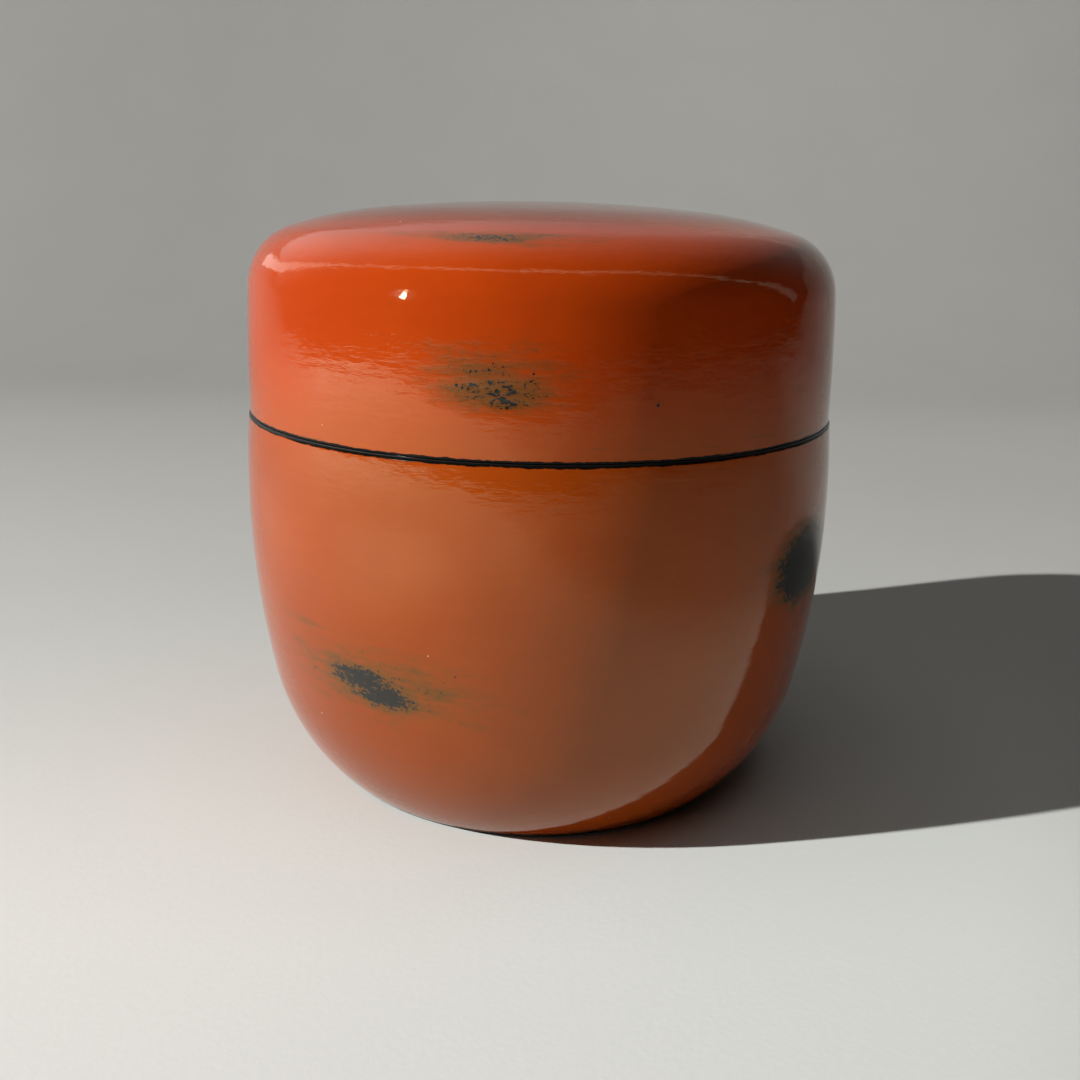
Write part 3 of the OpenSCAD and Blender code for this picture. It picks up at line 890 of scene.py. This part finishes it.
class CADDY_OT_studio(bpy.types.Operator):
    """Sets the paper sweep, the lights and the camera"""

    bl_idname = "caddy.studio"
    bl_label = "Studio"

    def execute(self, context):
        scene, studio = context.scene, context.scene.caddy_studio
        self.camera(scene, studio)
        self.paper(studio)
        self.lights(scene, studio)
        scene.view_settings.view_transform = "Standard"
        return {"FINISHED"}

    def camera(self, scene, studio):
        pitch, yaw, roll = studio.pitch, studio.yaw, studio.roll
        place = Vector((0, -studio.distance * math.cos(pitch), studio.aim_height + studio.distance * math.sin(pitch)))
        ahead = Vector((0, math.cos(pitch), -math.sin(pitch)))
        right = Vector((1, 0, 0))
        ahead, right = ahead * math.cos(yaw) + right * math.sin(yaw), right * math.cos(yaw) - ahead * math.sin(yaw)
        up = right.cross(ahead)
        right, up = right * math.cos(roll) + up * math.sin(roll), up * math.cos(roll) - right * math.sin(roll)
        data = bpy.data.cameras.new("studio_camera")
        data.lens, data.sensor_width, data.clip_start = studio.lens, 36, 0.005
        camera = bpy.data.objects.new("studio_camera", data)
        camera.matrix_world = Matrix((
            (right.x, up.x, -ahead.x, place.x), (right.y, up.y, -ahead.y, place.y),
            (right.z, up.z, -ahead.z, place.z), (0, 0, 0, 1)))
        scene.collection.objects.link(camera)
        scene.camera = camera

    def paper(self, studio):
        rows = [(PAPER_FRONT + PAPER_STEP * i, 0) for i in range(108)]
        rows += [(BEND_START + BEND * math.sin(a), BEND * (1 - math.cos(a)))
                 for a in np.linspace(0, math.pi / 2, 25)[1:]]
        rows.append((BEND_START + BEND, BEND + PAPER_RISE))
        paper_sheet("paper", rows, PAPER_HALF, paper_finish(studio))

    def lights(self, scene, studio):
        toward = compass(math.degrees(studio.key_heading) - 90, math.degrees(studio.key_height))
        self.hang(scene, "key_light", toward * studio.key_distance, (KEY_SIZE,), studio.key_power, glossy=False)
        self.hang(scene, "spark_light", SPARK_WAY * SPARK_DISTANCE, SPARK_SIZE, SPARK_POWER, diffuse=False)
        self.hang(scene, "fill_light", FILL_PLACE, FILL_SIZE, FILL_POWER, glossy=False)
        self.room(scene)
        self.band(scene)

    def room(self, scene):
        """A dim room, dark in front, that brightens upward and behind and toward the left."""
        world = bpy.data.worlds.new("dim_room")
        scene.world = world
        world.use_nodes = True
        # It shows in the lacquer but lights nothing
        world.cycles_visibility.diffuse = False
        w = Nodes(world.node_tree)
        way = w.node("ShaderNodeSeparateXYZ", {0: w.node("ShaderNodeTexCoord").outputs["Generated"]})
        rise = w.math("ADD", way.outputs["Y"], way.outputs["Z"])
        toward_left = w.math("POWER", ROOM_FALL, way.outputs["X"])
        back = w.tree.nodes["Background"]
        w.put(back.inputs["Color"], (0.95, 0.97, 1.0))
        w.put(back.inputs["Strength"], w.math("MULTIPLY", w.ramp(rise, ROOM_TONES), toward_left))

    def hang(self, scene, name, place, size, power, glossy=True, diffuse=True):
        """Hangs a lamp that faces the caddy: a disk if it has one size, a rectangle if it has two."""
        data = bpy.data.lights.new(name, "AREA")
        data.shape, data.size, data.energy = "DISK" if len(size) == 1 else "RECTANGLE", size[0], power
        if len(size) == 2:
            data.size_y = size[1]
        lamp = bpy.data.objects.new(name, data)
        lamp.location = place
        lamp.rotation_euler = place.to_track_quat("Z", "Y").to_euler()
        lamp.visible_glossy, lamp.visible_diffuse = glossy, diffuse
        scene.collection.objects.link(lamp)

    def band(self, scene):
        """A narrow bright band that arches over from side to side, as the rim of a skylight."""
        middle = [compass(*stop[:2]) for stop in BAND]
        verts, faces = [], []
        for i, (_, _, half, _) in enumerate(BAND):
            ahead = middle[min(i + 1, len(BAND) - 1)] - middle[max(i - 1, 0)]
            side = middle[i].cross(ahead).normalized() * math.tan(math.radians(half))
            verts += [tuple((middle[i] - side) * BAND_REACH), tuple((middle[i] + side) * BAND_REACH)]
            if i:
                faces.append((2 * i - 2, 2 * i - 1, 2 * i + 1, 2 * i))
        mesh = bpy.data.meshes.new("light_band")
        mesh.from_pydata(verts, [], faces)
        store(mesh, "glow", "FLOAT", np.repeat([stop[3] for stop in BAND], 2))
        mesh.materials.append(glow_finish())
        band = bpy.data.objects.new("light_band", mesh)
        scene.collection.objects.link(band)
        band.visible_camera = band.visible_diffuse = band.visible_shadow = False


# ---- Panel and registration ----

PIECES = ("red_body", "red_lid", "linings", "foot", "hidden_layers", "studio")


class CADDY_PT_panel(bpy.types.Panel):
    """Buttons for each piece, with the sizes and colours that they use"""

    bl_idname = "CADDY_PT_panel"
    bl_label = "Tea Caddy"
    bl_space_type = "VIEW_3D"
    bl_region_type = "UI"
    bl_category = "Tea Caddy"

    def draw(self, context):
        for piece in PIECES:
            self.layout.operator("caddy." + piece)
        for group in (context.scene.caddy_sizes, context.scene.caddy_colours, context.scene.caddy_studio):
            box = self.layout.box()
            for prop in group.__annotations__:
                box.prop(group, prop)


CLASSES = (CaddySizes, CaddyColours, CaddyStudio, CADDY_OT_red_body, CADDY_OT_red_lid, CADDY_OT_linings,
           CADDY_OT_foot, CADDY_OT_hidden_layers, CADDY_OT_studio, CADDY_PT_panel)


def register():
    for cls in CLASSES:
        bpy.utils.register_class(cls)
    bpy.types.Scene.caddy_sizes = bpy.props.PointerProperty(type=CaddySizes)
    bpy.types.Scene.caddy_colours = bpy.props.PointerProperty(type=CaddyColours)
    bpy.types.Scene.caddy_studio = bpy.props.PointerProperty(type=CaddyStudio)


def unregister():
    del bpy.types.Scene.caddy_sizes, bpy.types.Scene.caddy_colours, bpy.types.Scene.caddy_studio
    for cls in reversed(CLASSES):
        bpy.utils.unregister_class(cls)


def main():
    register()
    for piece in PIECES:
        getattr(bpy.ops.caddy, piece)()


if __name__ == "__main__":
    main()
